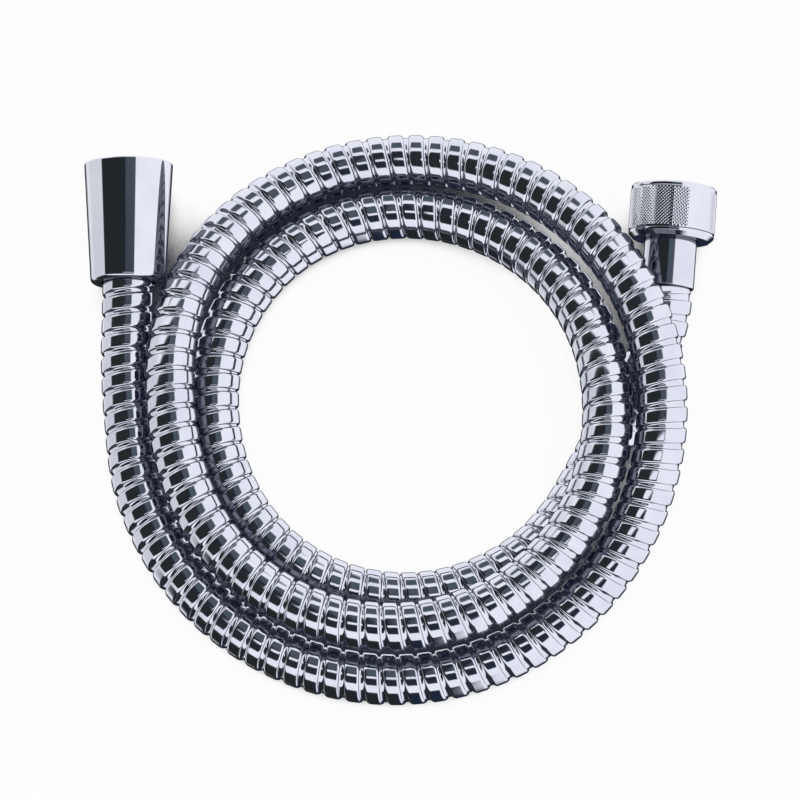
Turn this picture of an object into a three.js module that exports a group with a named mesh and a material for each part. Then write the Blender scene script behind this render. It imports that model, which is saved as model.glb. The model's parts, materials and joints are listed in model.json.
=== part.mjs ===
import * as THREE from "three";
import { mergeVertices } from "three/addons/utils/BufferGeometryUtils.js";

// A metal shower hose in a loose coil of two and a half turns, lying on a table. Millimetres, +Z up.
// Each end has a swivelling nut, a rubber washer, a barbed stem and a crimped sleeve.

// Hose section: a strip wound into bands with a groove between them, round a plain soft hose
const ARMOUR_OD = 14.3;
const ARMOUR_WALL = 1.65;
const ARMOUR_BORE = ARMOUR_OD - 2 * ARMOUR_WALL;
const STRIP_PITCH = 5.5;
const STRIP_GROOVE = 1;
const STRIP_DEPTH = 0.8;
const INNER_HOSE_FIT = 0.3;
const INNER_HOSE_OD = ARMOUR_BORE - 2 * INNER_HOSE_FIT;
const INNER_HOSE_WALL = 1.2;
const INNER_HOSE_BORE = INNER_HOSE_OD - 2 * INNER_HOSE_WALL;
const BORE_STEP = 12.5;
const HOSE_SIDES = 8;

// The strip is pressed narrower inside the sleeves, and widens again over this length
const PRESSED_CLEARANCE = 0.35;
const PRESSED_RUNOUT = 5.5;

// Clearance between pieces that seat on each other, and of a turning fit
const SEAT = 0.3;
const TURNING_FIT = 0.3;

// Half-inch pipe thread in both nuts, bored to the tips of its ridges
const THREAD_MINOR = 18.63;
const THREAD_MAJOR = 20.96;
const THREAD_DEPTH = 9.6;
const THREAD_RELIEF = 2.6;
const MOUTH_OPENING = 21.5;

// Knurled nut
const KNURLED_SIDE_WALL = 1.67;
const KNURLED_OD = THREAD_MAJOR + 2 * KNURLED_SIDE_WALL;
const KNURLED_WALL = 3;
const KNURL_BAND = 10.4;
const KNURL_RISE = 0.25;
const MOUTH_RIM = 1.5;
const MOUTH_BEVEL = 0.5;
const SHOULDER_BEVEL = 1.2;

// Conical nut
const CONE_MOUTH_OD = 25;
const CONE_REAR_OD = 21;
const CONE_LENGTH = 34;
const CONE_LIP = 0.5;
const CONE_REAR_ROUND = 1.3;

// Stem, sleeve and washer, the same at both ends. The barb's slope and neck are shares of its pitch,
// and the washer goes in past the thread's ridges, as does the flange behind it.
const SLEEVE_STEP = 0.25;
const SLEEVE_OD = ARMOUR_OD + 2 * SLEEVE_STEP;
const SLEEVE_WALL = 0.75;
const SLEEVE_LENGTH = 16.6;
const SLEEVE_BEVEL = 0.4;
const FLANGE_THICKNESS = 1.6;
const COLLAR_LENGTH = 1.4;
const BARB_HEIGHT = 0.35;
const BARB_PITCH = 2.6;
const BARB_COUNT = 4;
const BARB_SLOPE = 0.75;
const BARB_NECK = 0.2;
const STEM_WALL = 0.45;
const STEM_BORE = INNER_HOSE_BORE - 2 * (SEAT + BARB_HEIGHT + STEM_WALL);
const WASHER_CLEARANCE = 0.215;
const WASHER_OD = THREAD_MINOR - 2 * WASHER_CLEARANCE;
const FLANGE_INSET = 0.1;
const FLANGE_OD = WASHER_OD - 2 * FLANGE_INSET;
const WASHER_BORE = 10.5;
const WASHER_THICKNESS = 2;

// Faces around a turned piece
const OUTER_FACES = 32;
const INNER_FACES = 20;

// The coil as it lies: counter-clockwise from its left side, the hose's distance from the middle of
// the coil and its lift off the table at every twelfth of a turn. The lifts are where it rides on
// the turns below it.
const COIL_START = Math.PI;
const STATIONS_PER_TURN = 12;
const POINTS_PER_STATION = 2;
const COIL_RADII = [
  74.3, 74.2, 74.4, 74.6, 74.7, 74.5, 74.3, 74.5, 75.0, 74.6, 72.3, 67.8,
  62.4, 61.8, 62.1, 62.2, 61.6, 60.4, 59.2, 59.4, 60.0, 59.5, 57.4, 53.8,
  50.6, 49.7, 50.2, 51.3, 52.8, 55.0,
];
const COIL_LIFTS = [
  0, 0, 0, 0.2, 3.0, 9.2, 15.6, 15.7, 8.0, 1.2, 0.5, 6.2,
  9.3, 8.6, 9.2, 10.8, 12.4, 14.0, 15.0, 10.4, 3.6, 0.3, 0, 0,
  0, 0, 0, 0, 0, 0,
];

// The hose between each nut and the coil, as X, Y and lift: down from the conical nut, and under two
// turns up to the knurled nut.
const CONE_LEAD = [[-75.1, 28, 2.1], [-75.3, 18.5, 1.1], [-75.0, 9, 0.25]];
const KNURLED_LEAD = [
  [53.0, -18.4, 0], [57.9, -9.4, 0], [62.6, -0.6, 0.1],
  [67.3, 8.4, 0.7], [71.6, 17.2, 1.7], [74.8, 26.0, 2.7],
];

// Where the middle of each nut's rear face lies, and which way its mouth points
const CONE_REAR = { x: -74.9, y: 38.3, heading: 0 };
const KNURLED_REAR = { x: 77.4, y: 50.3, heading: 4.2, tilt: 5 };
const STRAIGHT_EXIT = 3.2;

const UP = new THREE.Vector3(0, 0, 1);
const LATHE_AXIS = new THREE.Vector3(0, 1, 0);

const radians = THREE.MathUtils.degToRad;

const chrome = { color: 0xd4d8de, roughness: 0.12, metalness: 1 };
const brass = { color: 0xc2a15a, roughness: 0.32, metalness: 1 };
const rubber = { color: 0x1b1c1e, roughness: 0.75, metalness: 0 };
const softPlastic = { color: 0xe4e6e2, roughness: 0.5, metalness: 0 };

function namedMesh(name, geometry, finish) {
  const mesh = new THREE.Mesh(geometry, new THREE.MeshStandardMaterial(finish));
  mesh.name = name;
  return mesh;
}

// A closed outline of [radius, height] corners, listed counter-clockwise, turned about +Y.
function turned(outline, faces) {
  const corners = outline.map(([radius, height]) => new THREE.Vector2(radius, height));
  corners.push(corners[0].clone());
  const geometry = new THREE.LatheGeometry(corners, faces);
  geometry.deleteAttribute("normal");
  geometry.deleteAttribute("uv");
  return mergeVertices(geometry, 1e-5);
}

// The threaded end that both nuts share: the bore from the mouth face down to the shoulder that
// holds the stem's flange, and on through the shoulder.
function nutBore(mouth) {
  const opening = MOUTH_OPENING / 2;
  const thread = THREAD_MINOR / 2;
  const relief = THREAD_MAJOR / 2;
  const shoulder = shoulderHeight(mouth);
  return [
    [opening, mouth],
    [thread, mouth - (opening - thread)],
    [thread, mouth - THREAD_DEPTH],
    [relief, mouth - THREAD_DEPTH],
    [relief, shoulder],
    [SLEEVE_OD / 2 + TURNING_FIT, shoulder],
    [SLEEVE_OD / 2 + TURNING_FIT, 0],
  ];
}

function shoulderHeight(mouth) {
  return mouth - THREAD_DEPTH - THREAD_RELIEF;
}

const KNURLED_LENGTH = KNURLED_WALL + THREAD_RELIEF + THREAD_DEPTH;

function knurledNut() {
  const radius = KNURLED_OD / 2;
  const rim = radius - KNURL_RISE;
  const bandEnd = KNURLED_LENGTH - MOUTH_RIM;
  const bandStart = bandEnd - KNURL_BAND;
  return turned([
    [rim - SHOULDER_BEVEL, 0],
    [rim, SHOULDER_BEVEL],
    [rim, bandStart - KNURL_RISE],
    [radius, bandStart],
    [radius, bandEnd],
    [rim, bandEnd + KNURL_RISE],
    [rim, KNURLED_LENGTH - MOUTH_BEVEL],
    [rim - MOUTH_BEVEL, KNURLED_LENGTH],
    ...nutBore(KNURLED_LENGTH),
  ], OUTER_FACES);
}

function coneNut() {
  const mouth = CONE_MOUTH_OD / 2;
  const rear = CONE_REAR_OD / 2;
  const taper = (mouth - rear) / CONE_LENGTH;
  const side = (height) => rear + taper * height;
  const roundSteps = 3;
  const rearRound = [];
  for (let i = 0; i <= roundSteps; i += 1) {
    const turn = (i / roundSteps) * Math.PI / 2;
    rearRound.push([
      side(CONE_REAR_ROUND) - CONE_REAR_ROUND * (1 - Math.sin(turn)),
      CONE_REAR_ROUND * (1 - Math.cos(turn)),
    ]);
  }
  return turned([
    ...rearRound,
    [side(CONE_LENGTH - CONE_LIP), CONE_LENGTH - CONE_LIP],
    [mouth - CONE_LIP, CONE_LENGTH],
    ...nutBore(CONE_LENGTH),
  ], OUTER_FACES);
}

// Heights along a fitting, up from the nut's rear face
function fittingHeights(mouth) {
  const flangeBottom = shoulderHeight(mouth) + SEAT;
  const flangeTop = flangeBottom + FLANGE_THICKNESS;
  const sleeveTop = flangeBottom - SEAT;
  const collarBottom = flangeBottom - COLLAR_LENGTH;
  return {
    flangeBottom,
    flangeTop,
    washerBottom: flangeTop + SEAT,
    sleeveTop,
    sleeveMouth: sleeveTop - SLEEVE_LENGTH,
    collarBottom,
    hoseEnd: collarBottom - SEAT,
  };
}

const SLEEVE_BORE = SLEEVE_OD - 2 * SLEEVE_WALL;

function sleeve(heights) {
  const outer = SLEEVE_OD / 2;
  const inner = SLEEVE_BORE / 2;
  return turned([
    [outer - SLEEVE_BEVEL, heights.sleeveMouth],
    [outer, heights.sleeveMouth + SLEEVE_BEVEL],
    [outer, heights.sleeveTop],
    [inner, heights.sleeveTop],
    [inner, heights.sleeveMouth],
  ], INNER_FACES);
}

// Barbs that hold the inner hose, a collar in the sleeve, and a flange that the washer seats on
function stem(heights) {
  const tip = INNER_HOSE_BORE / 2 - SEAT;
  const root = tip - BARB_HEIGHT;
  const collar = SLEEVE_BORE / 2 - SEAT;
  const barbs = [];
  for (let i = BARB_COUNT; i > 0; i -= 1) {
    const foot = heights.collarBottom - i * BARB_PITCH;
    barbs.push([root, foot], [tip, foot + BARB_PITCH * BARB_SLOPE]);
  }
  return turned([
    ...barbs,
    [root, heights.collarBottom - BARB_PITCH * BARB_NECK],
    [root, heights.collarBottom],
    [collar, heights.collarBottom],
    [collar, heights.flangeBottom],
    [FLANGE_OD / 2, heights.flangeBottom],
    [FLANGE_OD / 2, heights.flangeTop],
    [STEM_BORE / 2, heights.flangeTop],
    [STEM_BORE / 2, heights.collarBottom - BARB_COUNT * BARB_PITCH],
  ], INNER_FACES);
}

function washer(heights) {
  const top = heights.washerBottom + WASHER_THICKNESS;
  return turned([
    [WASHER_OD / 2, heights.washerBottom],
    [WASHER_OD / 2, top],
    [WASHER_BORE / 2, top],
    [WASHER_BORE / 2, heights.washerBottom],
  ], INNER_FACES);
}

// A fitting's pieces stand along +Y from the nut's rear face, and the group turns them to lie.
function fitting(rear, mouthDirection, mouth, names, nutGeometry) {
  const heights = fittingHeights(mouth);
  const group = new THREE.Group();
  group.position.copy(rear);
  group.quaternion.setFromUnitVectors(LATHE_AXIS, mouthDirection);
  group.add(
    namedMesh(names.nut, nutGeometry, chrome),
    namedMesh(names.washer, washer(heights), rubber),
    namedMesh(names.stem, stem(heights), brass),
    namedMesh(names.sleeve, sleeve(heights), chrome),
  );
  return group;
}

function direction(heading, tilt) {
  return new THREE.Vector3(
    Math.sin(heading) * Math.cos(tilt),
    Math.cos(heading) * Math.cos(tilt),
    Math.sin(tilt),
  );
}

// Points of the hose inside a fitting, from its end out to just past the sleeve
function pointsInFitting(rear, mouthDirection, mouth) {
  const { hoseEnd, sleeveMouth } = fittingHeights(mouth);
  const stops = [hoseEnd, (hoseEnd + sleeveMouth) / 2, sleeveMouth, sleeveMouth - STRAIGHT_EXIT];
  return stops.map((height) => rear.clone().addScaledVector(mouthDirection, height));
}

function coilPoints() {
  const stations = COIL_RADII.map((radius, i) => new THREE.Vector2(radius, COIL_LIFTS[i]));
  const spiral = new THREE.SplineCurve(stations);
  const steps = (stations.length - 1) * POINTS_PER_STATION;
  const points = [];
  for (let i = 0; i <= steps; i += 1) {
    const { x: radius, y: lift } = spiral.getPoint(i / steps);
    const angle = COIL_START + (i / POINTS_PER_STATION) * (2 * Math.PI / STATIONS_PER_TURN);
    points.push(onTable(radius * Math.cos(angle), radius * Math.sin(angle), Math.max(lift, 0)));
  }
  return points;
}

function onTable(x, y, lift) {
  return new THREE.Vector3(x, y, ARMOUR_OD / 2 + lift);
}

// A cut square to the hose: its centre, its level side and the way up
function cut(run, distance) {
  const share = distance / run.getLength();
  const tangent = run.getTangentAt(share);
  const side = new THREE.Vector3().crossVectors(UP, tangent).normalize();
  return { centre: run.getPointAt(share), side, over: new THREE.Vector3().crossVectors(tangent, side) };
}

function cornerOf(section, corner, radius) {
  const angle = (corner / HOSE_SIDES) * 2 * Math.PI;
  return section.centre.clone()
    .addScaledVector(section.side, radius * Math.cos(angle))
    .addScaledVector(section.over, radius * Math.sin(angle));
}

// A solid's skin from its four-sided faces. Corners that coincide become one, and a triangle that has
// closed up into a line is left out.
function solidOf(faces) {
  const corners = faces.flatMap(([a, b, c, d]) => [a, b, c, a, c, d]);
  const merged = mergeVertices(new THREE.BufferGeometry().setFromPoints(corners), 1e-4);
  const index = Array.from(merged.index.array);
  const kept = [];
  for (let i = 0; i < index.length; i += 3) {
    const [a, b, c] = index.slice(i, i + 3);
    if (a !== b && b !== c && c !== a) {
      kept.push(a, b, c);
    }
  }
  merged.setIndex(kept);
  return merged;
}

function eachSide(makeFace) {
  return Array.from({ length: HOSE_SIDES }, (_, corner) => makeFace(corner, corner + 1));
}

// A plain tube through the cuts, facing out or facing the bore
function tubeFaces(cuts, radius, facesOut) {
  return cuts.slice(1).flatMap((after, i) => eachSide((corner, next) => {
    const face = [
      cornerOf(cuts[i], corner, radius),
      cornerOf(cuts[i], next, radius),
      cornerOf(after, next, radius),
      cornerOf(after, corner, radius),
    ];
    return facesOut ? face : face.reverse();
  }));
}

// The flat rings at both ends, from the outside to the bore
function endFaces(cuts, outer, inner) {
  const ring = (section) => eachSide((corner, next) => [
    cornerOf(section, corner, outer),
    cornerOf(section, corner, inner),
    cornerOf(section, next, inner),
    cornerOf(section, next, outer),
  ]);
  const last = ring(cuts[cuts.length - 1]).map((face) => face.reverse());
  return [...ring(cuts[0]), ...last];
}

// Half the width of the armour where its strip has that radius when free: the sleeves press it
// narrower, and it widens again just outside them.
const pressedRadius = SLEEVE_BORE / 2 - PRESSED_CLEARANCE;

function radiusAt(distance, length, radius) {
  const grip = SLEEVE_LENGTH - COLLAR_LENGTH + SEAT;
  const depth = Math.min(distance, length - distance);
  const freed = THREE.MathUtils.clamp((depth - grip) / PRESSED_RUNOUT, 0, 1);
  return pressedRadius + (radius - pressedRadius) * freed;
}

// The armour's outside. Each station is one side further round the hose and that side's share of a
// pitch further along, and carries one band of the strip from its crest to the groove's bottom. The
// band ahead of it is the one that starts a whole turn later. Bands past the hose's ends close up.
function woundFaces(run) {
  const length = run.getLength();
  const crest = STRIP_PITCH - STRIP_GROOVE;
  const band = [
    { offset: -crest / 2, radius: ARMOUR_OD / 2 },
    { offset: crest / 2, radius: ARMOUR_OD / 2 },
    { offset: STRIP_PITCH / 2, radius: ARMOUR_OD / 2 - STRIP_DEPTH },
  ];
  const spareTurns = 4;
  const stations = (Math.ceil(length / STRIP_PITCH) + spareTurns) * HOSE_SIDES;
  const bands = Array.from({ length: stations }, (_, station) => {
    const middle = (station / HOSE_SIDES - 1) * STRIP_PITCH;
    return band.map(({ offset, radius }) => {
      const distance = THREE.MathUtils.clamp(middle + offset, 0, length);
      return cornerOf(cut(run, distance), station % HOSE_SIDES, radiusAt(distance, length, radius));
    });
  });
  const faces = [];
  for (let station = 0; station + HOSE_SIDES + 1 < stations; station += 1) {
    const here = [...bands[station], bands[station + HOSE_SIDES][0]];
    const next = [...bands[station + 1], bands[station + 1 + HOSE_SIDES][0]];
    for (let i = 0; i + 1 < here.length; i += 1) {
      faces.push([here[i], next[i], next[i + 1], here[i + 1]]);
    }
  }
  return faces;
}

const coneTilt = Math.atan((CONE_MOUTH_OD - CONE_REAR_OD) / 2 / CONE_LENGTH);
const coneDirection = direction(radians(CONE_REAR.heading), coneTilt);
const coneRear = new THREE.Vector3(CONE_REAR.x, CONE_REAR.y, (CONE_REAR_OD / 2) * Math.cos(coneTilt));

const knurledTilt = radians(KNURLED_REAR.tilt);
const knurledDirection = direction(radians(KNURLED_REAR.heading), knurledTilt);
const knurledRear = new THREE.Vector3(
  KNURLED_REAR.x,
  KNURLED_REAR.y,
  (KNURLED_OD / 2) * Math.cos(knurledTilt),
);

const run = new THREE.CatmullRomCurve3([
  ...pointsInFitting(coneRear, coneDirection, CONE_LENGTH),
  ...CONE_LEAD.map((point) => onTable(...point)),
  ...coilPoints(),
  ...KNURLED_LEAD.map((point) => onTable(...point)),
  ...pointsInFitting(knurledRear, knurledDirection, KNURLED_LENGTH).reverse(),
]);
run.arcLengthDivisions = 4000;

const boreSteps = Math.round(run.getLength() / BORE_STEP);
const boreCuts = Array.from({ length: boreSteps + 1 }, (_, i) => (
  cut(run, (i / boreSteps) * run.getLength())
));

const armour = solidOf([
  ...woundFaces(run),
  ...tubeFaces(boreCuts, ARMOUR_BORE / 2, false),
  ...endFaces(boreCuts, pressedRadius, ARMOUR_BORE / 2),
]);
const innerHose = solidOf([
  ...tubeFaces(boreCuts, INNER_HOSE_OD / 2, true),
  ...tubeFaces(boreCuts, INNER_HOSE_BORE / 2, false),
  ...endFaces(boreCuts, INNER_HOSE_OD / 2, INNER_HOSE_BORE / 2),
]);

const hose = new THREE.Group();
hose.add(
  namedMesh("hose_armour", armour, chrome),
  namedMesh("inner_hose", innerHose, softPlastic),
  fitting(coneRear, coneDirection, CONE_LENGTH, {
    nut: "cone_nut", washer: "cone_washer", stem: "cone_stem", sleeve: "cone_sleeve",
  }, coneNut()),
  fitting(knurledRear, knurledDirection, KNURLED_LENGTH, {
    nut: "knurled_nut", washer: "nut_washer", stem: "nut_stem", sleeve: "nut_sleeve",
  }, knurledNut()),
);

// The origin is under the middle of the whole hose, on the table.
hose.updateMatrixWorld(true);
const extent = new THREE.Box3().setFromObject(hose, true);
const middle = extent.getCenter(new THREE.Vector3());
hose.position.set(-middle.x, -middle.y, -extent.min.z);
hose.updateMatrixWorld(true);

export default hose;
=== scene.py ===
import json
import math

import bmesh
import bpy
import numpy as np
from mathutils import Matrix, Vector


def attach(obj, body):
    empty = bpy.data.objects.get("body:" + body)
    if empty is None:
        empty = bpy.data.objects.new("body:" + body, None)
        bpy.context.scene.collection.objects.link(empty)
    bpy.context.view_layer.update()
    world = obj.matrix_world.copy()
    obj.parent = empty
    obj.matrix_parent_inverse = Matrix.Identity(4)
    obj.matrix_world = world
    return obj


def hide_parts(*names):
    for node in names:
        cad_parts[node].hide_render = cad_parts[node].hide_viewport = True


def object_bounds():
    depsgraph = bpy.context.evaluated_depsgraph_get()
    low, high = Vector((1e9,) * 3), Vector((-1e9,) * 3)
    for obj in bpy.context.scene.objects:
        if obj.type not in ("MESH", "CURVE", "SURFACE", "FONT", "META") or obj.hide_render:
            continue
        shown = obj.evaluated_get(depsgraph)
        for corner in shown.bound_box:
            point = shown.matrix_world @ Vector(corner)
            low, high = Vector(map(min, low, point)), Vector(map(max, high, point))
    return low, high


# A chromed metal shower hose in a loose coil, with a conical nut and a knurled nut. Metres, +Z up.
MM = 0.001

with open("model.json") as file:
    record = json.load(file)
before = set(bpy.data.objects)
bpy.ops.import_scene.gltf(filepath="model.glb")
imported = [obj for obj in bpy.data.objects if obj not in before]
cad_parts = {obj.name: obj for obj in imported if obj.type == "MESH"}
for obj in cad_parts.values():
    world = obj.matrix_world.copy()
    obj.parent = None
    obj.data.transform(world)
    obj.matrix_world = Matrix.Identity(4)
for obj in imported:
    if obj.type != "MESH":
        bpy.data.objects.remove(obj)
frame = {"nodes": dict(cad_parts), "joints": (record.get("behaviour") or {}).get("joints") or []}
cad_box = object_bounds()
joints = {joint["name"]: joint for joint in frame["joints"]}

# The hose's section, and how much narrower it is pressed inside the sleeves
ARMOUR_OD = 14.3 * MM
ARMOUR_BORE = 11 * MM
ARMOUR_SWAGE = 1.7 * MM

# Its wound strip: bands with a flat crest, whose rounded shoulders turn down before the groove
STRIP_PITCH = 5.5 * MM
STRIP_GROOVE = 1.3 * MM
STRIP_DEPTH = 0.8 * MM
SHOULDER_ROUND = 1.25 * MM
SHOULDER_TURN = math.radians(44)
SHOULDER_STEPS = 3
STRIP_SIDES = 36
BORE_STEPS = 190

# Sleeve, stem and washer in each nut
SEAT = 0.3 * MM
TURNING_FIT = 0.3 * MM
SLEEVE_OD = 14.8 * MM
SLEEVE_WALL = 0.75 * MM
SLEEVE_LENGTH = 16.6 * MM
FLANGE_OD = 18 * MM
FLANGE_THICKNESS = 1.6 * MM
COLLAR_LENGTH = 1.4 * MM
STEM_BORE = 5.8 * MM
INNER_HOSE_BORE = 8 * MM
WASHER_OD = 18.2 * MM
WASHER_BORE = 10.5 * MM
WASHER_THICKNESS = 2 * MM

# The stem's barbs, each with its slope and the neck before the collar as shares of their pitch
BARB_COUNT = 4
BARB_PITCH = 2.6 * MM
BARB_HEIGHT = 0.35 * MM
BARB_SLOPE = 0.75
BARB_NECK = 0.2

# Half-inch pipe thread
THREAD_MAJOR = 20.96 * MM
THREAD_MINOR = 18.63 * MM
THREAD_PITCH = 1.814 * MM
THREAD_DEPTH = 9.6 * MM
THREAD_RELIEF = 2.6 * MM
MOUTH_OPENING = 21.5 * MM

# The thread's ridge: half its foot and half its flat tip as shares of the pitch, how deep it is sunk
# into the wall, and how far it stops short of the thread's end
RIDGE_FOOT = 0.44
RIDGE_FLAT = 0.08
RIDGE_SINK = 0.1 * MM
RIDGE_SHORT = 0.9 * MM

# The knurled nut: rows of diamonds between two plain rims, on a ring that is let into a recess
KNURLED_OD = 24.3 * MM
KNURLED_WALL = 3 * MM
KNURLED_LENGTH = KNURLED_WALL + THREAD_RELIEF + THREAD_DEPTH
MOUTH_RIM = 1.5 * MM
RIM_INSET = 0.15 * MM
REAR_CHAMFER = 1.2 * MM
MOUTH_CHAMFER = 0.5 * MM
BAND_CHAMFER = 0.3 * MM
KNURL_BAND = 11.5 * MM
KNURLS_ROUND = 78
KNURL_ROWS = 12
KNURL_HEIGHT = 0.085 * MM
KNURL_RING = 0.8 * MM
KNURL_RECESS = 0.35 * MM

# The conical nut
CONE_MOUTH_OD = 25 * MM
CONE_REAR_OD = 21 * MM
CONE_LENGTH = 34 * MM
CONE_REAR_ROUND = 1.3 * MM

# Roundings of the turned edges
BARB_EDGE = 0.05 * MM
BROKEN_EDGE = 0.1 * MM
MOUTH_EDGE = 0.12 * MM
EDGE = 0.15 * MM
SOFT_EDGE = 0.2 * MM
WASHER_EDGE = 0.25 * MM
STEM_EDGE = 0.25 * MM
LIP = 0.35 * MM

# Faces round a turned piece, round what lies inside a nut, and round one turn of a thread
TURNED_FACES = 96
INNER_FACES = 64
THREAD_FACES = 48

# Points that are nearer than this are one
WELD = 0.01 * MM
FINE_WELD = 0.001 * MM

# The coil as it lies, as in the part's source: counter-clockwise from its left side, the distance
# from the middle of the coil and the lift off the table at every twelfth of a turn.
COIL_START = math.pi
STATIONS_PER_TURN = 12
POINTS_PER_STATION = 2
COIL_RADII = [
    0.0743, 0.0742, 0.0744, 0.0746, 0.0747, 0.0745, 0.0743, 0.0745, 0.0750, 0.0746,
    0.0723, 0.0678, 0.0624, 0.0618, 0.0621, 0.0622, 0.0616, 0.0604, 0.0592, 0.0594,
    0.0600, 0.0595, 0.0574, 0.0538, 0.0506, 0.0497, 0.0502, 0.0513, 0.0528, 0.0550,
]
COIL_LIFTS = [
    0, 0, 0, 0.0002, 0.0030, 0.0092, 0.0156, 0.0157, 0.0080, 0.0012,
    0.0005, 0.0062, 0.0093, 0.0086, 0.0092, 0.0108, 0.0124, 0.0140, 0.0150, 0.0104,
    0.0036, 0.0003, 0, 0, 0, 0, 0, 0, 0, 0,
]
CONE_LEAD = [(-0.0751, 0.0280, 0.0021), (-0.0753, 0.0185, 0.0011), (-0.0750, 0.0090, 0.00025)]
KNURLED_LEAD = [
    (0.0530, -0.0184, 0), (0.0579, -0.0094, 0), (0.0626, -0.0006, 0.0001),
    (0.0673, 0.0084, 0.0007), (0.0716, 0.0172, 0.0017), (0.0748, 0.0260, 0.0027),
]
CONE_REAR = (-0.0749, 0.0383)
STRAIGHT_EXIT = 3.2 * MM
CURVE_STEPS = 40
RUN_STEP = 0.5 * MM
CORD_STEP = 4 * MM

# The photograph's view: one of its pixels is 0.28 mm at the hose
PICTURE_PIXELS = 800
PIXEL = 0.28 * MM
VIEW_ELEVATION = math.radians(76)
VIEW_DISTANCE = 2.5
VIEW_CENTRE = (1.4 * MM, 5.5 * MM)

# How fine the finishes' patterns are, as noise scales to the metre
CHROME_CLOUDS = 90
CHROME_RIPPLES = 260
BRASS_CLOUDS = 350
RUBBER_GRAIN = 2600
PLASTIC_CLOUDS = 120

# The floor: how much of what the camera sees of it is plain white, and the painted shade near the hose,
# which deepens from the second share of open air to the first
FLOOR_SIZE = 4
FLOOR_WHITE = 0.94
PAINTED_SHADE_REACH = 24 * MM
PAINTED_SHADE_OPEN_AIR = (0.2, 0.5)

# What polished metal sees of the studio: patches as (low, high, softness) in degrees north and east of
# straight up, and parts that fall from full to nothing between two x, y or z of the direction
DARK_PANEL = {"north": (-43, 30, 1.5), "east": (-73, 20, 1.5)}
LIGHT_STRIP = {"north": (-12, -3, 1.5), "east": (-14, 17, 1.5)}
FAR_WALL = {"north": (46, 78, 3), "east": (-50, 25, 8)}
SLATE_PATCH = {"north": (1, 30, 2), "east": (-6, 20, 2)}
NAVY_EAST = (-30, 18)
BELOW_Z = (-0.9, -0.7)
WEST_X = (-0.9, -0.6)
SOUTH_FLOOR_X = (0.15, 0.4)
SOUTH_FLOOR_Y = (-0.5, -0.3)
SOUTH_FLOOR_Z = (0.17, 0.24)

STUDIO_LIGHT = (0.92, 0.92, 1.0, 1)
WEST_LIGHT = (0.70, 0.71, 0.76, 1)
BLACK = (0.018, 0.021, 0.023, 1)
NAVY = (0.014, 0.021, 0.042, 1)
SLATE = (0.075, 0.095, 0.115, 1)

# Painted shade where metal reflects metal: what it shows of the studio darkens between these numbers of
# reflections, by this share
PAINTED_SHADE_BOUNCES = (1, 2.3)
PAINTED_SHADE_SHARE = 0.92
PAINTED_SHADE_TINT = (0.006, 0.009, 0.026, 1)


class Fitting:
    """Where a nut lies: the middle of its rear face, the way its mouth points, and heights along it."""

    def __init__(self, joint, mouth):
        self.rear = Vector(joints[joint]["pos_m"])
        self.axis = Vector(joints[joint]["axis"]).normalized()
        self.mouth = mouth
        self.shoulder = mouth - THREAD_DEPTH - THREAD_RELIEF
        self.flange_bottom = self.shoulder + SEAT
        self.flange_top = self.flange_bottom + FLANGE_THICKNESS
        self.washer_bottom = self.flange_top + SEAT
        self.sleeve_top = self.flange_bottom - SEAT
        self.sleeve_mouth = self.sleeve_top - SLEEVE_LENGTH
        self.collar_bottom = self.flange_bottom - COLLAR_LENGTH
        self.hose_end = self.collar_bottom - SEAT

    def at(self, height):
        return self.rear + self.axis * height

    def place(self):
        turn = Vector((0, 0, 1)).rotation_difference(self.axis)
        return Matrix.Translation(self.rear) @ turn.to_matrix().to_4x4()

    def hose_points(self):
        middle = (self.hose_end + self.sleeve_mouth) / 2
        heights = [self.hose_end, middle, self.sleeve_mouth, self.sleeve_mouth - STRAIGHT_EXIT]
        return [self.at(height) for height in heights]


cone = Fitting("cone_nut_spin", CONE_LENGTH)
knurled = Fitting("knurled_nut_spin", KNURLED_LENGTH)

# The route's points are measured from the middle of the coil, and the part from the middle of its box.
table_z = cad_box[0][2]
coil_middle = Vector((cone.rear.x - CONE_REAR[0], cone.rear.y - CONE_REAR[1], table_z))


def on_table(x, y, lift):
    return coil_middle + Vector((x, y, ARMOUR_OD / 2 + lift))


def between_points(here, after, start, end, t):
    """A point of the smooth curve from one point to the next, which has these slopes at its ends."""
    return (
        (2 * here - 2 * after + start + end) * t ** 3
        + (-3 * here + 3 * after - 2 * start - end) * t ** 2 + start * t + here
    )


def uniform_spline(values, i, t):
    """A point of the curve through evenly spaced values, t of the way from number i to the next."""
    last = len(values) - 1
    before, here, after, beyond = (values[min(max(j, 0), last)] for j in (i - 1, i, i + 1, i + 2))
    return between_points(here, after, (after - before) / 2, (beyond - here) / 2, t)


def coil_points():
    """The middle of the hose round the coil, from the conical nut's lead to the knurled nut's."""
    points = []
    for step in range((len(COIL_RADII) - 1) * POINTS_PER_STATION + 1):
        station, part = divmod(step, POINTS_PER_STATION)
        radius = uniform_spline(COIL_RADII, station, part / POINTS_PER_STATION)
        lift = uniform_spline(COIL_LIFTS, station, part / POINTS_PER_STATION)
        angle = COIL_START + step / POINTS_PER_STATION * 2 * math.pi / STATIONS_PER_TURN
        points.append(on_table(radius * math.cos(angle), radius * math.sin(angle), max(lift, 0)))
    return points


def centripetal_curve(points, steps):
    """A smooth curve through the points that neither loops nor overshoots between them."""
    points = np.array([tuple(point) for point in points])
    padded = np.vstack([2 * points[0] - points[1], points, 2 * points[-1] - points[-2]])
    gaps = np.linalg.norm(np.diff(padded, axis=0), axis=1) ** 0.5
    t = (np.arange(steps) / steps)[:, None]
    curve = []
    for i in range(1, len(padded) - 2):
        before, here, after, beyond = padded[i - 1:i + 3]
        gap0, gap1, gap2 = gaps[i - 1:i + 2]
        start = ((here - before) / gap0 - (after - before) / (gap0 + gap1) + (after - here) / gap1) * gap1
        end = ((after - here) / gap1 - (beyond - here) / (gap1 + gap2) + (beyond - after) / gap2) * gap1
        curve.append(between_points(here, after, start, end, t))
    return np.vstack([*curve, points[-1:]])


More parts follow.
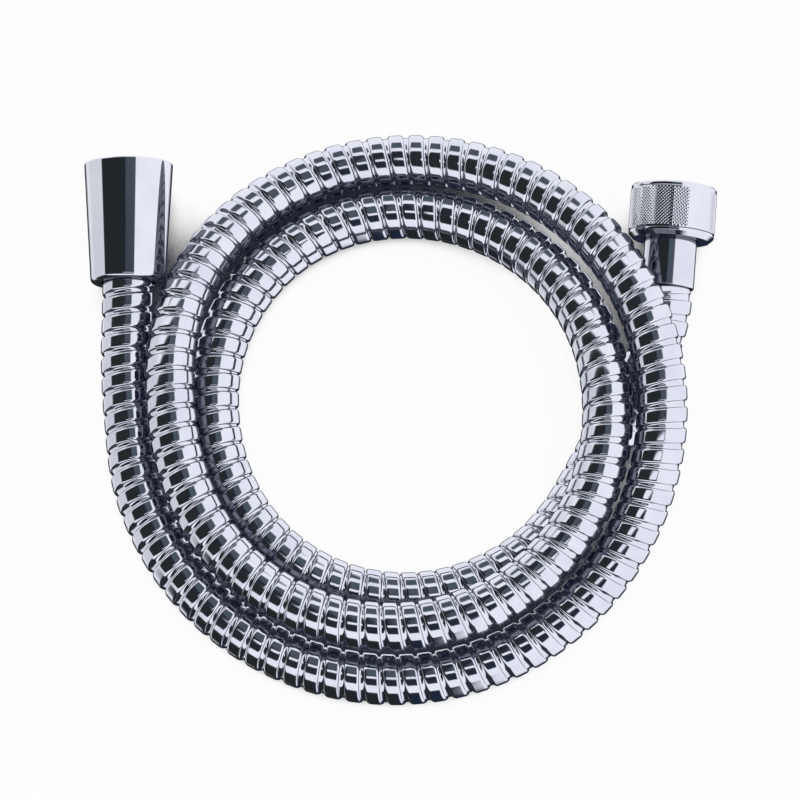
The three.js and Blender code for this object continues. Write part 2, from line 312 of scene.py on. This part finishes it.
class Run:
    """The hose's centre line at even steps, with a frame at each that turns as little as possible."""

    def __init__(self, points):
        curve = centripetal_curve(points, CURVE_STEPS)
        along = np.concatenate([[0], np.cumsum(np.linalg.norm(np.diff(curve, axis=0), axis=1))])
        self.length = along[-1]
        self.distances = np.linspace(0, self.length, int(self.length / RUN_STEP) + 1)
        self.centres = self.read(curve, along, self.distances)
        tangents = np.gradient(self.centres, self.distances, axis=0)
        self.tangents = tangents / np.linalg.norm(tangents, axis=1)[:, None]
        self.bend = self.smoothed(np.gradient(self.tangents, self.distances, axis=0))
        side = Vector((0, 0, 1)).cross(Vector(self.tangents[0])).normalized()
        sides = [side]
        for before, here in zip(self.tangents[:-1], self.tangents[1:]):
            side = Vector(before).rotation_difference(Vector(here)) @ side
            sides.append(side)
        self.sides = np.array([tuple(side) for side in sides])
        self.overs = np.cross(self.tangents, self.sides)

    @staticmethod
    def read(rows, along, distances):
        return np.stack([np.interp(distances, along, rows[:, k]) for k in range(3)], axis=1)

    def smoothed(self, rows, reach=12):
        kernel = np.hanning(2 * reach + 1)
        kernel /= kernel.sum()
        padded = np.pad(rows, ((reach, reach), (0, 0)), mode="edge")
        return np.stack([np.convolve(padded[:, k], kernel, mode="valid") for k in range(3)], axis=1)

    def at(self, rows, distances):
        return self.read(rows, self.distances, distances)


run = Run([
    *cone.hose_points(),
    *(on_table(*point) for point in CONE_LEAD),
    *coil_points(),
    *(on_table(*point) for point in KNURLED_LEAD),
    *reversed(knurled.hose_points()),
])


def set_camera():
    """The photograph looks down from the south."""
    looks_at = coil_middle + Vector((*VIEW_CENTRE, ARMOUR_OD / 2))
    lens = bpy.data.cameras.new("camera")
    lens.sensor_width = 36
    lens.lens = lens.sensor_width * VIEW_DISTANCE / (PICTURE_PIXELS * PIXEL)
    lens.clip_start = 0.01
    camera = bpy.data.objects.new("camera", lens)
    away = Vector((0, -math.cos(VIEW_ELEVATION), math.sin(VIEW_ELEVATION)))
    camera.location = looks_at + away * VIEW_DISTANCE
    camera.rotation_euler = (-away).to_track_quat("-Z", "Y").to_euler()
    bpy.context.scene.collection.objects.link(camera)
    bpy.context.scene.camera = camera


set_camera()


class Value:
    """A number that varies over a surface, with the usual operators."""

    def __init__(self, nodes, socket):
        self.nodes = nodes
        self.socket = socket

    def math(self, operation, *others, first=None):
        values = [self if first is None else first, *others]
        node = self.nodes.add("ShaderNodeMath", {"operation": operation}, dict(enumerate(values)))
        return Value(self.nodes, node.outputs[0])

    def __add__(self, other):
        return self.math("ADD", other)

    __radd__ = __add__

    def __sub__(self, other):
        return self.math("SUBTRACT", other)

    def __rsub__(self, other):
        return self.math("SUBTRACT", self, first=other)

    def __mul__(self, other):
        return self.math("MULTIPLY", other)

    __rmul__ = __mul__

    def larger(self, other):
        return self.math("MAXIMUM", other)

    def smooth_step(self, low, high):
        """0 below low, rising to 1 at high."""
        node = self.nodes.add(
            "ShaderNodeMapRange", {"interpolation_type": "SMOOTHSTEP"},
            {"Value": self, "From Min": low, "From Max": high},
        )
        return Value(self.nodes, node.outputs["Result"])

    def falling(self, low, high):
        """1 below low, falling to 0 at high."""
        return 1 - self.smooth_step(low, high)

    def between(self, low, high, soft):
        """1 from low to high, falling to 0 past them."""
        return self.smooth_step(low - soft, low + soft) * self.falling(high - soft, high + soft)


class Nodes:
    """The node tree of a material or of the world."""

    def __init__(self, owner):
        owner.use_nodes = True
        self.tree = owner.node_tree
        self.tree.nodes.clear()

    def add(self, kind, settings=None, inputs=None):
        node = self.tree.nodes.new(kind)
        for name, setting in (settings or {}).items():
            setattr(node, name, setting)
        for name, value in (inputs or {}).items():
            if isinstance(value, Value):
                self.tree.links.new(value.socket, node.inputs[name])
            elif isinstance(value, bpy.types.NodeSocket):
                self.tree.links.new(value, node.inputs[name])
            else:
                node.inputs[name].default_value = value
        return node

    def value(self, kind, output, settings=None, inputs=None):
        return Value(self, self.add(kind, settings, inputs).outputs[output])

    def colour_mix(self, factor, first, second):
        inputs = {0: factor, 6: first, 7: second}
        return self.add("ShaderNodeMix", {"data_type": "RGBA"}, inputs).outputs[2]


def material(name):
    made = bpy.data.materials.new(name)
    return made, Nodes(made)


def noise(nodes, scale, detail=3.0, roughness=0.5):
    place = nodes.add("ShaderNodeTexCoord").outputs["Object"]
    inputs = {"Vector": place, "Scale": scale, "Detail": detail, "Roughness": roughness}
    return nodes.value("ShaderNodeTexNoise", 0, None, inputs)


def surface(nodes, inputs):
    shader = nodes.add("ShaderNodeBsdfPrincipled", None, inputs)
    nodes.add("ShaderNodeOutputMaterial", None, {"Surface": shader.outputs[0]})


def chrome(name, bright, dull, roughness, ripple):
    """Polished chrome plate, with faint cloudy patches and a very slight ripple of the metal below."""
    made, nodes = material(name)
    cloud = noise(nodes, CHROME_CLOUDS).smooth_step(0.35, 0.7)
    waves = nodes.add("ShaderNodeBump", None, {
        "Strength": 0.25, "Distance": ripple, "Height": noise(nodes, CHROME_RIPPLES, 2.0),
    })
    surface(nodes, {
        "Base Color": nodes.colour_mix(cloud, (*bright, 1), (*dull, 1)),
        "Metallic": 1.0,
        "Roughness": roughness + cloud * 0.035,
        "Normal": waves.outputs[0],
    })
    return made


def brass():
    made, nodes = material("turned_brass")
    cloud = noise(nodes, BRASS_CLOUDS)
    surface(nodes, {
        "Base Color": nodes.colour_mix(cloud, (0.83, 0.66, 0.34, 1), (0.62, 0.46, 0.22, 1)),
        "Metallic": 1.0,
        "Roughness": 0.22 + cloud * 0.16,
    })
    return made


def rubber():
    made, nodes = material("washer_rubber")
    grain = noise(nodes, RUBBER_GRAIN)
    bump = nodes.add("ShaderNodeBump", None, {"Strength": 0.4, "Distance": 0.05 * MM, "Height": grain})
    surface(nodes, {
        "Base Color": nodes.colour_mix(grain, (0.022, 0.022, 0.025, 1), (0.05, 0.05, 0.052, 1)),
        "Roughness": 0.62 + grain * 0.2,
        "Normal": bump.outputs[0],
    })
    return made


def soft_plastic():
    made, nodes = material("inner_hose_plastic")
    cloud = noise(nodes, PLASTIC_CLOUDS)
    surface(nodes, {
        "Base Color": nodes.colour_mix(cloud, (0.88, 0.89, 0.87, 1), (0.80, 0.81, 0.79, 1)),
        "Roughness": 0.38 + cloud * 0.12,
    })
    return made


ARMOUR_CHROME = chrome("armour_chrome", (0.85, 0.87, 0.92), (0.77, 0.80, 0.86), 0.07, 0.02 * MM)
NUT_CHROME = chrome("nut_chrome", (0.88, 0.885, 0.92), (0.82, 0.83, 0.88), 0.03, 0.004 * MM)
SLEEVE_CHROME = chrome("sleeve_chrome", (0.85, 0.86, 0.91), (0.78, 0.79, 0.85), 0.05, 0.006 * MM)
BRASS = brass()
RUBBER = rubber()
SOFT_PLASTIC = soft_plastic()


def finished(name, bm, look, body, replaces=()):
    """A bmesh in its place becomes a piece that rides on a body and stands for CAD nodes."""
    mesh = bpy.data.meshes.new(name)
    bm.to_mesh(mesh)
    bm.free()
    mesh.shade_smooth()
    mesh.materials.append(look)
    piece = bpy.data.objects.new(name, mesh)
    bpy.context.scene.collection.objects.link(piece)
    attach(piece, body)
    if replaces:
        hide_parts(*replaces)
    return piece


def even_normals(piece):
    """Lets the large faces keep their own direction, so that only the rounded edges turn the light."""
    piece.modifiers.new("even_normals", "WEIGHTED_NORMAL")


def rounded(corners, steps=4):
    """An outline of (radius, height, rounding) corners as points, with an arc at each rounded one."""
    points = []
    for i, (radius, height, rounding) in enumerate(corners):
        here = Vector((radius, height))
        if not rounding:
            points.append(here)
            continue
        before = (Vector(corners[i - 1][:2]) - here).normalized()
        after = (Vector(corners[(i + 1) % len(corners)][:2]) - here).normalized()
        half = before.angle(after) / 2
        reach = rounding / math.tan(half)
        middle = here + (before + after).normalized() * (rounding / math.sin(half))
        start = here + before * reach - middle
        turn = start.angle_signed(here + after * reach - middle)
        for step in range(steps + 1):
            points.append(middle + Matrix.Rotation(-turn * step / steps, 2) @ start)
    return points


def turned(corners, faces=TURNED_FACES):
    """A closed outline turned about +Z."""
    bm = bmesh.new()
    verts = [bm.verts.new((point.x, 0, point.y)) for point in rounded(corners)]
    for here, after in zip(verts, verts[1:] + verts[:1]):
        bm.edges.new((here, after))
    bmesh.ops.spin(
        bm, geom=bm.verts[:] + bm.edges[:], cent=(0, 0, 0), axis=(0, 0, 1),
        angle=2 * math.pi, steps=faces, use_merge=True,
    )
    bmesh.ops.remove_doubles(bm, verts=bm.verts, dist=FINE_WELD)
    bmesh.ops.recalc_face_normals(bm, faces=bm.faces)
    return bm


def join(bm, other):
    """Adds another bmesh to this one."""
    mesh = bpy.data.meshes.new("joined")
    other.to_mesh(mesh)
    other.free()
    bm.from_mesh(mesh)
    bpy.data.meshes.remove(mesh)


# The wound strip

def strip_profile():
    """One pitch of the strip as (distance, radius): a flat crest, round shoulders, and the groove."""
    crest = ARMOUR_OD / 2
    half = (STRIP_PITCH - STRIP_GROOVE) / 2
    flat = half - SHOULDER_ROUND * math.sin(SHOULDER_TURN)
    edge = [(-half, crest - STRIP_DEPTH)]
    for step in range(SHOULDER_STEPS + 1):
        turn = (1 - step / SHOULDER_STEPS) * SHOULDER_TURN
        edge.append((
            -flat - SHOULDER_ROUND * math.sin(turn),
            crest - SHOULDER_ROUND * (1 - math.cos(turn)),
        ))
    mirrored = [(-distance, radius) for distance, radius in reversed(edge)]
    groove = (STRIP_PITCH / 2, crest - STRIP_DEPTH)
    return [(-groove[0], groove[1]), *edge, *mirrored, groove]


def straight_armour():
    """The strip wound straight up +Z."""
    bm = bmesh.new()
    spare = 1.5 * STRIP_PITCH
    verts = [bm.verts.new((radius, 0, distance - spare)) for distance, radius in strip_profile()]
    for here, after in zip(verts, verts[1:]):
        bm.edges.new((here, after))
    bmesh.ops.spin(
        bm, geom=bm.verts[:] + bm.edges[:], cent=(0, 0, 0), axis=(0, 0, 1),
        dvec=(0, 0, STRIP_PITCH / STRIP_SIDES), angle=2 * math.pi, steps=STRIP_SIDES,
    )
    turns = 1
    while turns * STRIP_PITCH < run.length + 2 * spare:
        copied = bmesh.ops.duplicate(bm, geom=bm.verts[:] + bm.edges[:] + bm.faces[:])["geom"]
        moved = [item for item in copied if isinstance(item, bmesh.types.BMVert)]
        bmesh.ops.translate(bm, verts=moved, vec=(0, 0, turns * STRIP_PITCH))
        turns *= 2
    past = [vert for vert in bm.verts if vert.co.z > run.length + spare]
    bmesh.ops.delete(bm, geom=past, context="VERTS")
    bmesh.ops.remove_doubles(bm, verts=bm.verts, dist=WELD)
    return bm


def swage_and_trim(bm):
    """Presses the strip flat inside the sleeves, and trims it to the hose's length."""
    grip = SLEEVE_LENGTH - COLLAR_LENGTH + SEAT
    pressed = (ARMOUR_OD - ARMOUR_SWAGE) / 2
    for vert in bm.verts:
        depth = min(vert.co.z, run.length - vert.co.z)
        share = min(max((grip + ARMOUR_SWAGE - depth) / ARMOUR_SWAGE, 0), 1)
        radius = vert.co.xy.length
        vert.co.xy *= (radius + (pressed - radius) * share) / radius
        vert.co.z = min(max(vert.co.z, 0), run.length)
    bmesh.ops.remove_doubles(bm, verts=bm.verts, dist=WELD)
    bmesh.ops.dissolve_degenerate(bm, edges=bm.edges, dist=FINE_WELD)


def add_bore(bm):
    """Runs the bore through, and closes the wall at both ends."""
    bore = bmesh.new()
    bmesh.ops.create_cone(
        bore, segments=STRIP_SIDES, radius1=ARMOUR_BORE / 2, radius2=ARMOUR_BORE / 2,
        depth=run.length, cap_ends=False,
    )
    bmesh.ops.translate(bore, verts=bore.verts, vec=(0, 0, run.length / 2))
    uprights = [edge for edge in bore.edges if not edge.is_boundary]
    bmesh.ops.subdivide_edges(bore, edges=uprights, cuts=BORE_STEPS - 1)
    join(bm, bore)
    open_edges = [edge for edge in bm.edges if edge.is_boundary]
    for low_end in (True, False):
        loops = [edge for edge in open_edges if (edge.verts[0].co.z < run.length / 2) == low_end]
        bmesh.ops.bridge_loops(bm, edges=loops)
    bmesh.ops.recalc_face_normals(bm, faces=bm.faces)


def bend_along(mesh):
    """Lays the straight armour along the run. Each band of the strip keeps its width in a bend, and
    the grooves open on its outside and close on its inside."""
    flat = np.zeros(len(mesh.vertices) * 3)
    mesh.vertices.foreach_get("co", flat)
    x, y, along = flat.reshape(-1, 3).T
    angle = np.arctan2(y, x)
    winding = along - STRIP_PITCH * angle / (2 * math.pi)
    in_band = np.mod(winding, STRIP_PITCH) - STRIP_PITCH / 2
    in_bore = np.hypot(x, y) < ARMOUR_BORE / 2 + WELD
    in_groove = np.abs(in_band) > STRIP_PITCH / 2 - 5 * WELD
    in_band[in_bore | in_groove] = 0
    middle = along - in_band
    offset = run.at(run.sides, middle) * x[:, None] + run.at(run.overs, middle) * y[:, None]
    stretch = 1 - np.sum(run.at(run.bend, middle) * offset, axis=1)
    along = np.clip(middle + in_band / stretch, 0, run.length)
    placed = run.at(run.centres, along)
    placed += run.at(run.sides, along) * x[:, None] + run.at(run.overs, along) * y[:, None]
    mesh.vertices.foreach_set("co", placed.ravel())
    mesh.update()


def hose_armour():
    bm = straight_armour()
    swage_and_trim(bm)
    add_bore(bm)
    piece = finished("armour", bm, ARMOUR_CHROME, "hose", ["hose_armour"])
    bend_along(piece.data)
    even_normals(piece)
    return piece


# Nuts and what is in them

def nut_bore(fitting):
    """The corners from the mouth face down the bore: the thread's root, its relief, and the shoulder."""
    opening = MOUTH_OPENING / 2
    root = THREAD_MAJOR / 2
    swivel = SLEEVE_OD / 2 + TURNING_FIT
    return [
        (opening, fitting.mouth, MOUTH_EDGE),
        (root, fitting.mouth - (opening - root), 0),
        (root, fitting.shoulder, SOFT_EDGE),
        (swivel, fitting.shoulder, EDGE),
        (swivel, 0, EDGE),
    ]


def thread(fitting):
    """The nut's inner thread: a ridge wound along the bore's wall."""
    root = THREAD_MAJOR / 2 + RIDGE_SINK
    tip = THREAD_MINOR / 2
    foot = THREAD_PITCH * RIDGE_FOOT
    flat = THREAD_PITCH * RIDGE_FLAT
    low = fitting.mouth - THREAD_DEPTH + foot
    bm = bmesh.new()
    ridge = [(root, -foot), (tip, -flat), (tip, flat), (root, foot)]
    verts = [bm.verts.new((radius, 0, low + height)) for radius, height in ridge]
    for here, after in zip(verts, verts[1:] + verts[:1]):
        bm.edges.new((here, after))
    turns = (THREAD_DEPTH - 2 * foot - RIDGE_SHORT) / THREAD_PITCH
    steps = int(turns * THREAD_FACES)
    bmesh.ops.spin(
        bm, geom=bm.verts[:] + bm.edges[:], cent=(0, 0, 0), axis=(0, 0, 1),
        dvec=(0, 0, turns * THREAD_PITCH / steps), angle=2 * math.pi * turns, steps=steps,
    )
    bmesh.ops.holes_fill(bm, edges=[edge for edge in bm.edges if edge.is_boundary], sides=0)
    bmesh.ops.recalc_face_normals(bm, faces=bm.faces)
    return bm


def cone_nut():
    bm = turned([
        (CONE_REAR_OD / 2, 0, CONE_REAR_ROUND),
        (CONE_MOUTH_OD / 2, CONE_LENGTH, LIP),
        *nut_bore(cone),
    ])
    join(bm, thread(cone))
    bm.transform(cone.place())
    piece = finished("cone_nut_shell", bm, NUT_CHROME, "conical_nut", ["cone_nut"])
    even_normals(piece)


def knurl():
    """A ring of diamond pyramids round the knurled nut, between its plain rims."""
    peak = KNURLED_OD / 2
    valley = peak - KNURL_HEIGHT
    top = KNURLED_LENGTH - MOUTH_RIM
    bm = bmesh.new()
    bmesh.ops.create_cone(
        bm, segments=KNURLS_ROUND, radius1=valley, radius2=valley, depth=KNURL_BAND, cap_ends=False,
    )
    uprights = [edge for edge in bm.edges if abs(edge.verts[0].co.z - edge.verts[1].co.z) > WELD]
    bmesh.ops.subdivide_edges(bm, edges=uprights, cuts=KNURL_ROWS - 1, use_grid_fill=True)
    grid = bm.edges[:]
    inner = [edge for edge in grid if not edge.is_boundary]
    bmesh.ops.poke(bm, faces=bm.faces[:])
    bmesh.ops.dissolve_edges(bm, edges=inner, use_verts=False)
    for vert in bm.verts:
        vert.co.xy *= valley / vert.co.xy.length
    diamonds = [face for face in bm.faces if len(face.verts) == 4]
    bmesh.ops.poke(bm, faces=diamonds, offset=0)
    for vert in bm.verts:
        if len(vert.link_edges) == 4 and not vert.is_boundary:
            vert.co.xy *= peak / vert.co.xy.length
    rims = [edge for edge in bm.edges if edge.is_boundary]
    inner = bmesh.ops.extrude_edge_only(bm, edges=rims)["geom"]
    for vert in (item for item in inner if isinstance(item, bmesh.types.BMVert)):
        vert.co.xy *= (valley - KNURL_RING) / vert.co.xy.length
    bmesh.ops.bridge_loops(bm, edges=[item for item in inner if isinstance(item, bmesh.types.BMEdge)])
    bmesh.ops.recalc_face_normals(bm, faces=bm.faces)
    bmesh.ops.translate(bm, verts=bm.verts, vec=(0, 0, top - KNURL_BAND / 2))
    return bm


def knurled_nut():
    rim = KNURLED_OD / 2 - RIM_INSET
    recess = KNURLED_OD / 2 - KNURL_HEIGHT - KNURL_RECESS
    top = KNURLED_LENGTH - MOUTH_RIM
    bottom = top - KNURL_BAND
    bm = turned([
        (rim - REAR_CHAMFER, 0, SOFT_EDGE),
        (rim, REAR_CHAMFER, SOFT_EDGE),
        (rim, bottom - BAND_CHAMFER, BROKEN_EDGE),
        (recess, bottom, 0),
        (recess, top, 0),
        (rim, top + BAND_CHAMFER, BROKEN_EDGE),
        (rim, KNURLED_LENGTH - MOUTH_CHAMFER, EDGE),
        (rim - MOUTH_CHAMFER, KNURLED_LENGTH, EDGE),
        *nut_bore(knurled),
    ])
    join(bm, thread(knurled))
    bm.transform(knurled.place())
    shell = finished("knurled_nut_shell", bm, NUT_CHROME, "knurled_nut", ["knurled_nut"])
    even_normals(shell)
    band = knurl()
    band.transform(knurled.place())
    knurling = finished("knurl_band", band, NUT_CHROME, "knurled_nut")
    knurling.data.shade_flat()
    return [shell, knurling]


def sleeve(name, fitting, node):
    outer = SLEEVE_OD / 2
    inner = outer - SLEEVE_WALL
    bm = turned([
        (outer, fitting.sleeve_mouth, LIP),
        (outer, fitting.sleeve_top, BROKEN_EDGE),
        (inner, fitting.sleeve_top, 0),
        (inner, fitting.sleeve_mouth, SOFT_EDGE),
    ])
    bm.transform(fitting.place())
    piece = finished(name, bm, SLEEVE_CHROME, "hose", [node])
    even_normals(piece)
    return piece


def stem(name, fitting, node):
    tip = INNER_HOSE_BORE / 2 - SEAT
    root = tip - BARB_HEIGHT
    collar = SLEEVE_OD / 2 - SLEEVE_WALL - SEAT
    corners = []
    for i in range(BARB_COUNT, 0, -1):
        foot = fitting.collar_bottom - i * BARB_PITCH
        corners += [(root, foot, 0), (tip, foot + BARB_PITCH * BARB_SLOPE, BARB_EDGE)]
    corners += [
        (root, fitting.collar_bottom - BARB_PITCH * BARB_NECK, 0),
        (root, fitting.collar_bottom, 0),
        (collar, fitting.collar_bottom, BROKEN_EDGE),
        (collar, fitting.flange_bottom, 0),
        (FLANGE_OD / 2, fitting.flange_bottom, EDGE),
        (FLANGE_OD / 2, fitting.flange_top, EDGE),
        (STEM_BORE / 2, fitting.flange_top, STEM_EDGE),
        (STEM_BORE / 2, fitting.collar_bottom - BARB_COUNT * BARB_PITCH, 0),
    ]
    bm = turned(corners, INNER_FACES)
    bm.transform(fitting.place())
    piece = finished(name, bm, BRASS, "hose", [node])
    even_normals(piece)
    return piece


def washer(name, fitting, body, node):
    top = fitting.washer_bottom + WASHER_THICKNESS
    bm = turned([
        (WASHER_OD / 2, fitting.washer_bottom, WASHER_EDGE),
        (WASHER_OD / 2, top, WASHER_EDGE),
        (WASHER_BORE / 2, top, WASHER_EDGE),
        (WASHER_BORE / 2, fitting.washer_bottom, WASHER_EDGE),
    ], INNER_FACES)
    bm.transform(fitting.place())
    piece = finished(name, bm, RUBBER, body, [node])
    even_normals(piece)
    return piece


armour = hose_armour()
cone_nut()
sleeve("cone_crimp_sleeve", cone, "cone_sleeve")
stem("cone_barbed_stem", cone, "cone_stem")
washer("cone_rubber_washer", cone, "conical_nut", "cone_washer")
knurled_end = [
    *knurled_nut(),
    sleeve("knurled_crimp_sleeve", knurled, "nut_sleeve"),
    stem("knurled_barbed_stem", knurled, "nut_stem"),
    washer("knurled_rubber_washer", knurled, "knurled_nut", "nut_washer"),
]

inner_hose = frame["nodes"]["inner_hose"]
inner_hose.data.materials.clear()
inner_hose.data.materials.append(SOFT_PLASTIC)

path = run.at(run.centres, np.linspace(0, run.length, int(run.length / CORD_STEP)))


# Studio

def floor():
    """A pale floor that the camera sees as plain white, with painted shade close to the hose. Metal
    doesn't see it.
    """
    bm = bmesh.new()
    bmesh.ops.create_grid(bm, x_segments=1, y_segments=1, size=FLOOR_SIZE)
    mesh = bpy.data.meshes.new("floor")
    bm.to_mesh(mesh)
    bm.free()
    made, nodes = material("floor")
    rays = nodes.add("ShaderNodeLightPath")
    seen = Value(nodes, rays.outputs["Is Camera Ray"]) * FLOOR_WHITE
    open_air = nodes.value("ShaderNodeAmbientOcclusion", "AO", {"samples": 16}, {"Distance": PAINTED_SHADE_REACH})
    painted_lit_share = open_air.smooth_step(*PAINTED_SHADE_OPEN_AIR)
    # Painted shade: the camera's white emission turns near-black where little open air is round the floor
    # close to the hose
    floor_painted_shade = nodes.colour_mix(painted_lit_share, (0.01, 0.01, 0.02, 1), (1, 1, 1, 1))
    matt = nodes.add("ShaderNodeBsdfDiffuse", None, {"Color": (0.88, 0.88, 0.89, 1)})
    white_and_painted_shade = nodes.add("ShaderNodeEmission", None, {"Color": floor_painted_shade, "Strength": 1.0})
    mixed = nodes.add("ShaderNodeMixShader", None, {0: seen, 1: matt.outputs[0], 2: white_and_painted_shade.outputs[0]})
    nodes.add("ShaderNodeOutputMaterial", None, {"Surface": mixed.outputs[0]})
    mesh.materials.append(made)
    plane = bpy.data.objects.new("floor", mesh)
    bpy.context.scene.collection.objects.link(plane)
    plane.visible_glossy = False


def studio():
    """White all round, with a dark panel overhead that a thin light strip crosses, and dark floor to
    the south: polished metal shows these, and everything else is lit evenly."""
    world = bpy.data.worlds.new("studio")
    bpy.context.scene.world = world
    nodes = Nodes(world)
    way = nodes.add("ShaderNodeTexCoord").outputs["Generated"]
    parts = nodes.add("ShaderNodeSeparateXYZ", None, {0: way})
    x, y, z = (Value(nodes, parts.outputs[axis]) for axis in "XYZ")
    degrees = 180 / math.pi
    north = y.math("ARCTAN2", z) * degrees
    east = x.math("ARCTAN2", z) * degrees

    def patch(area):
        return north.between(*area["north"]) * east.between(*area["east"])

    far_wall = patch(FAR_WALL)
    south_floor = x.falling(*SOUTH_FLOOR_X) * y.falling(*SOUTH_FLOOR_Y) * z.falling(*SOUTH_FLOOR_Z)
    overhead = patch(DARK_PANEL) * (1 - patch(LIGHT_STRIP))
    darkness = overhead.larger(far_wall).larger(south_floor).larger(z.falling(*BELOW_Z))
    black = nodes.colour_mix(east.smooth_step(*NAVY_EAST), BLACK, NAVY)
    dark = nodes.colour_mix(patch(SLATE_PATCH).larger(far_wall), black, SLATE)
    light = nodes.colour_mix(x.falling(*WEST_X), STUDIO_LIGHT, WEST_LIGHT)
    rays = nodes.add("ShaderNodeLightPath")
    # Painted shade: metal seen in metal, such as between the strands, darkens toward a near-black navy
    bounce_painted_shade = Value(nodes, rays.outputs["Glossy Depth"]).smooth_step(*PAINTED_SHADE_BOUNCES) * PAINTED_SHADE_SHARE
    seen_once = nodes.colour_mix(darkness, light, dark)
    seen_in_metal = nodes.colour_mix(bounce_painted_shade, seen_once, PAINTED_SHADE_TINT)
    glossy = Value(nodes, rays.outputs["Is Glossy Ray"])
    colour = nodes.colour_mix(glossy, (1, 1, 1, 1), seen_in_metal)
    sky = nodes.add("ShaderNodeBackground", None, {"Color": colour, "Strength": 1.0})
    nodes.add("ShaderNodeOutputWorld", None, {"Surface": sky.outputs[0]})


floor()
studio()
bpy.context.scene.view_settings.view_transform = "Standard"
